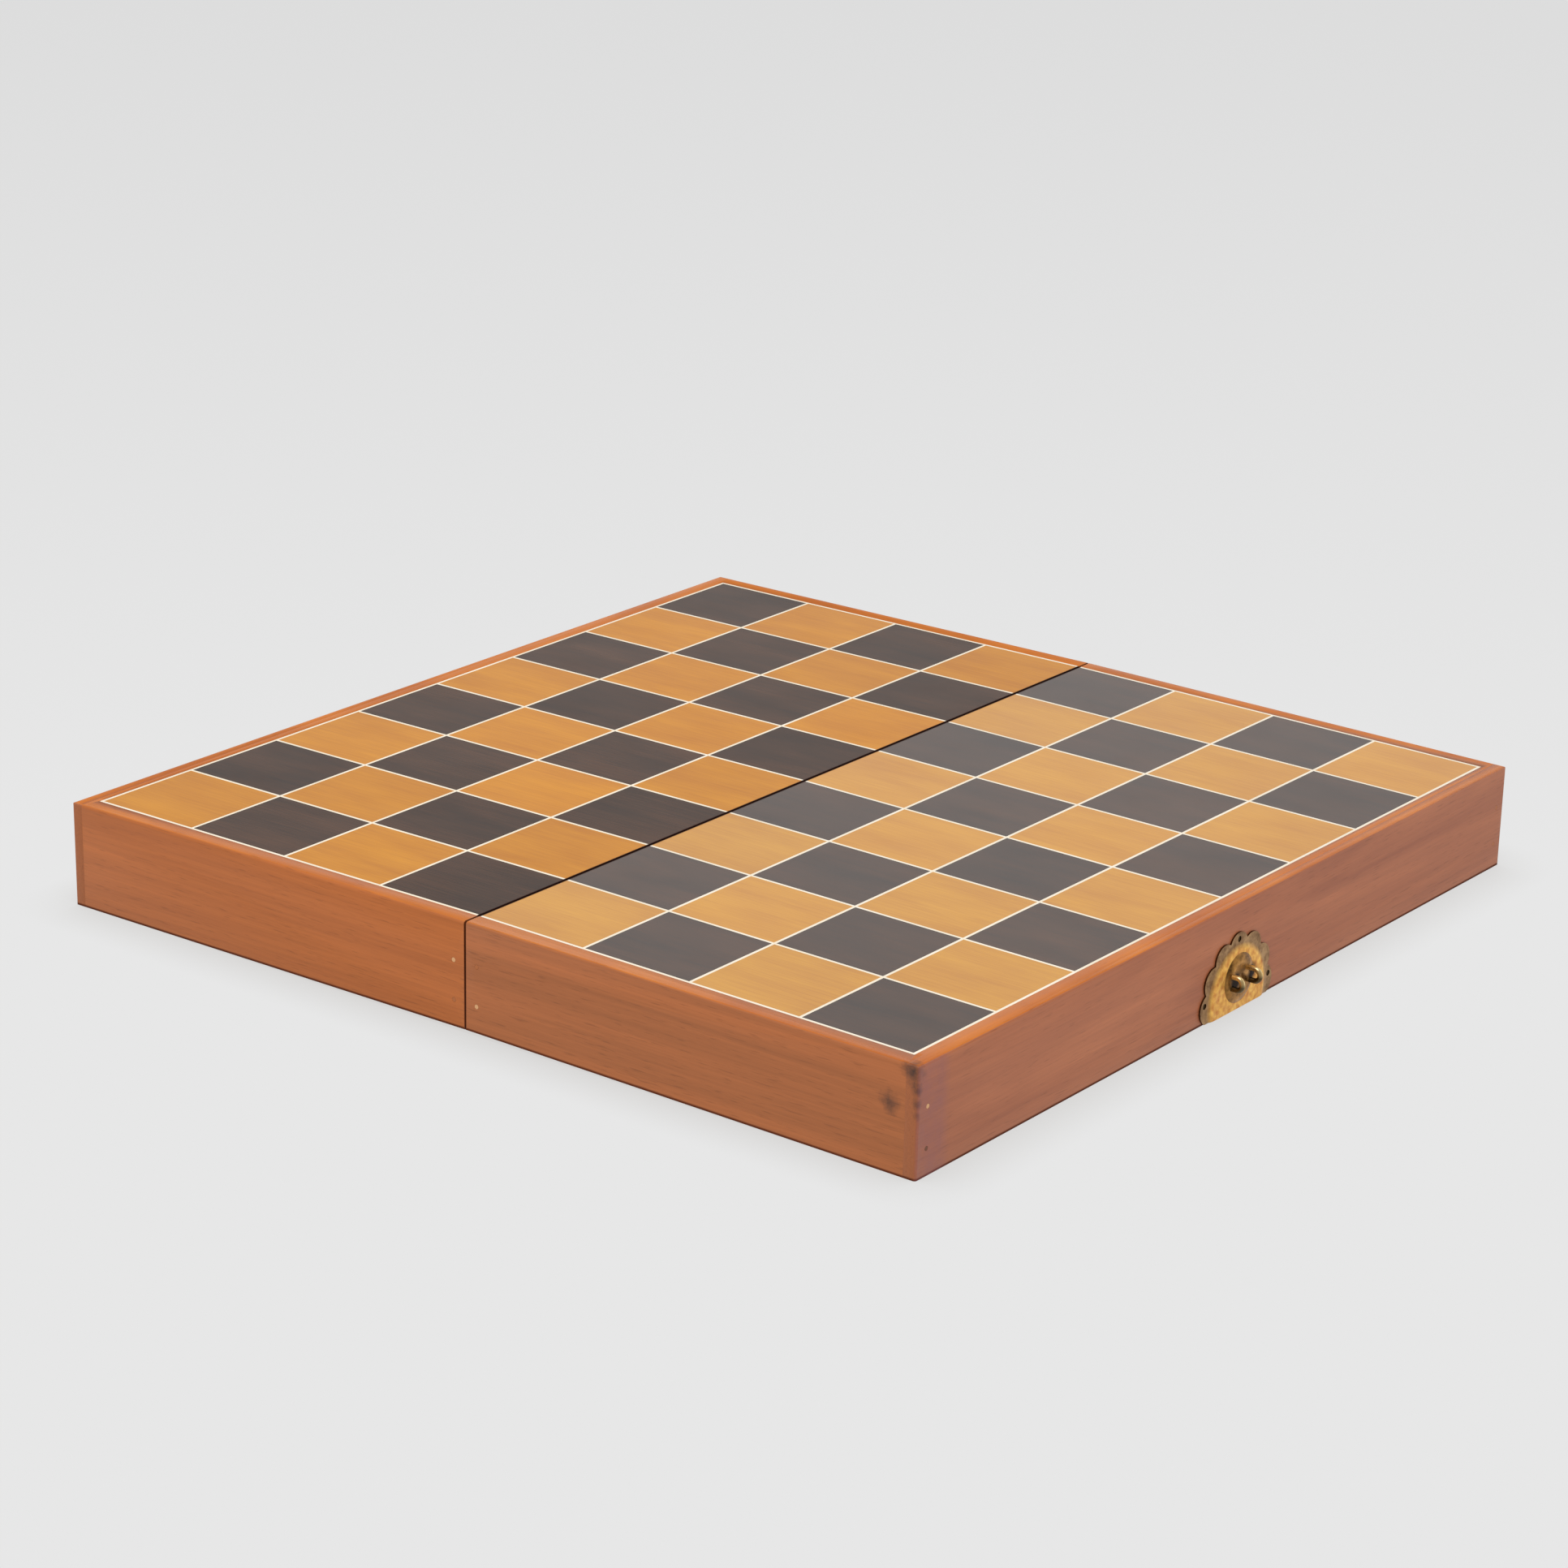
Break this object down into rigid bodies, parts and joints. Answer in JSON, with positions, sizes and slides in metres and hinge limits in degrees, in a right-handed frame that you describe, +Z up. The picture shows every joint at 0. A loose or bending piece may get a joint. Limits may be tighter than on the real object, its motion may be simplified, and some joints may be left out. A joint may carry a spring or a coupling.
{
  "type": "folding chess box with hinged lid",
  "caption": "Folding chess box of two hinged wooden trays with compartments; opened flat it is a checkered board, and a brass hasp over staples holds it shut.",
  "frame": {"origin": "on the table plane, straight below the middle of the hinge line that joins the two trays, with the box open and standing on its rims", "axes": "+X runs across the board to the lock end of the base tray, +Y along the hinge line, +Z up out of the playing surface; the lid tray lies on the -X side"},
  "size_m": [0.3841, 0.35, 0.0376],
  "materials": {
    "rosewood_board": "satin lacquer, fine straight grain",
    "plain_panel": "bare",
    "light_veneer": "gloss lacquer",
    "dark_veneer": "gloss lacquer",
    "white_inlay": "gloss lacquer over white stringing",
    "lining_cloth": "napped cloth",
    "divider_wood": "bare",
    "bamboo_pin": "cut flush",
    "pin_steel": "dull",
    "nail_brass": "tarnished",
    "bright_brass": "worn bright",
    "old_brass": "tarnished, worn bright on high spots"
  },
  "bodies": {
    "base": {"base_end_board": "rosewood_board", "base_front_board": "rosewood_board", "base_back_board": "rosewood_board", "base_hinge_board": "rosewood_board", "base_panel": "plain_panel", "base_light_squares": "light_veneer", "base_dark_squares": "dark_veneer", "base_lines": "white_inlay", "base_lining": "lining_cloth", "base_long_divider": "divider_wood", "base_piece_dividers": "divider_wood", "base_pawn_dividers": "divider_wood", "base_corner_pins": "bamboo_pin", "base_hinge_leaves": "old_brass", "base_hinge_screws": "old_brass", "hinge_pins": "pin_steel", "lock_plate": "old_brass", "lock_plate_nails": "nail_brass", "lock_boss": "old_brass", "lock_staples": "bright_brass"},
    "lid": {"lid_end_board": "rosewood_board", "lid_front_board": "rosewood_board", "lid_back_board": "rosewood_board", "lid_hinge_board": "rosewood_board", "lid_panel": "plain_panel", "lid_light_squares": "light_veneer", "lid_dark_squares": "dark_veneer", "lid_lines": "white_inlay", "lid_lining": "lining_cloth", "lid_long_divider": "divider_wood", "lid_piece_dividers": "divider_wood", "lid_pawn_dividers": "divider_wood", "lid_corner_pins": "bamboo_pin", "lid_hinge_leaves": "old_brass", "lid_hinge_screws": "old_brass", "hasp_plate": "old_brass", "hasp_plate_nails": "nail_brass", "hasp_pin": "pin_steel"},
    "hasp": {"hasp": "old_brass"}
  },
  "joints": [
    {"name": "lid_hinge", "type": "hinge", "parent": "base", "child": "lid", "pos_m": [0, 0, 0.001], "axis": [0, -1, 0], "range_deg": [0, 179.24]},
    {"name": "hasp_swing", "type": "hinge", "parent": "lid", "child": "hasp", "pos_m": [-0.17802, 0, 0.00398], "axis": [0, -1, 0], "range_deg": [-99.5, 82.85]}
  ]
}
